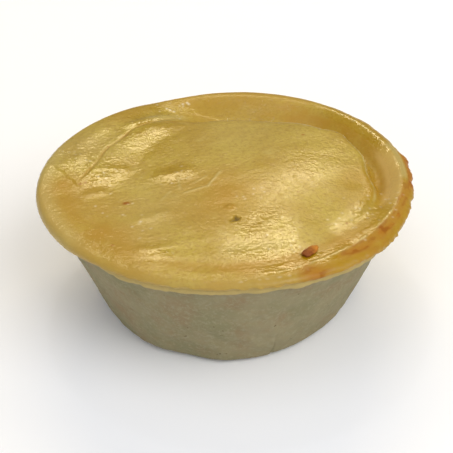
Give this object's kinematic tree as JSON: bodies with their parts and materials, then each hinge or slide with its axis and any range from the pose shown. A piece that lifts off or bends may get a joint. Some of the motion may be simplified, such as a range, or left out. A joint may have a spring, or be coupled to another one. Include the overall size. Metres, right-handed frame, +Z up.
{
  "type": "chicken pie",
  "caption": "Round individual chicken pie: a pale tapered shortcrust case under a golden glazed pastry lid with a pressed, flaky rim; stands on its flat base as a food item.",
  "frame": {"origin": "middle of the flat underside", "axes": "+Z up, -Y towards the side the picture shows, +X to its right"},
  "size_m": [0.1077, 0.1056, 0.0419],
  "materials": {
    "plain_pastry": "unglazed baked shortcrust: matt, pale grey-beige, lightly mottled and pitted",
    "glazed_pastry": "egg-glazed baked pastry: golden, uneven gloss, browned at the rim's right side"
  },
  "bodies": {
    "root": {"pastry_case": "plain_pastry", "pastry_lid": "glazed_pastry"}
  },
  "joints": []
}
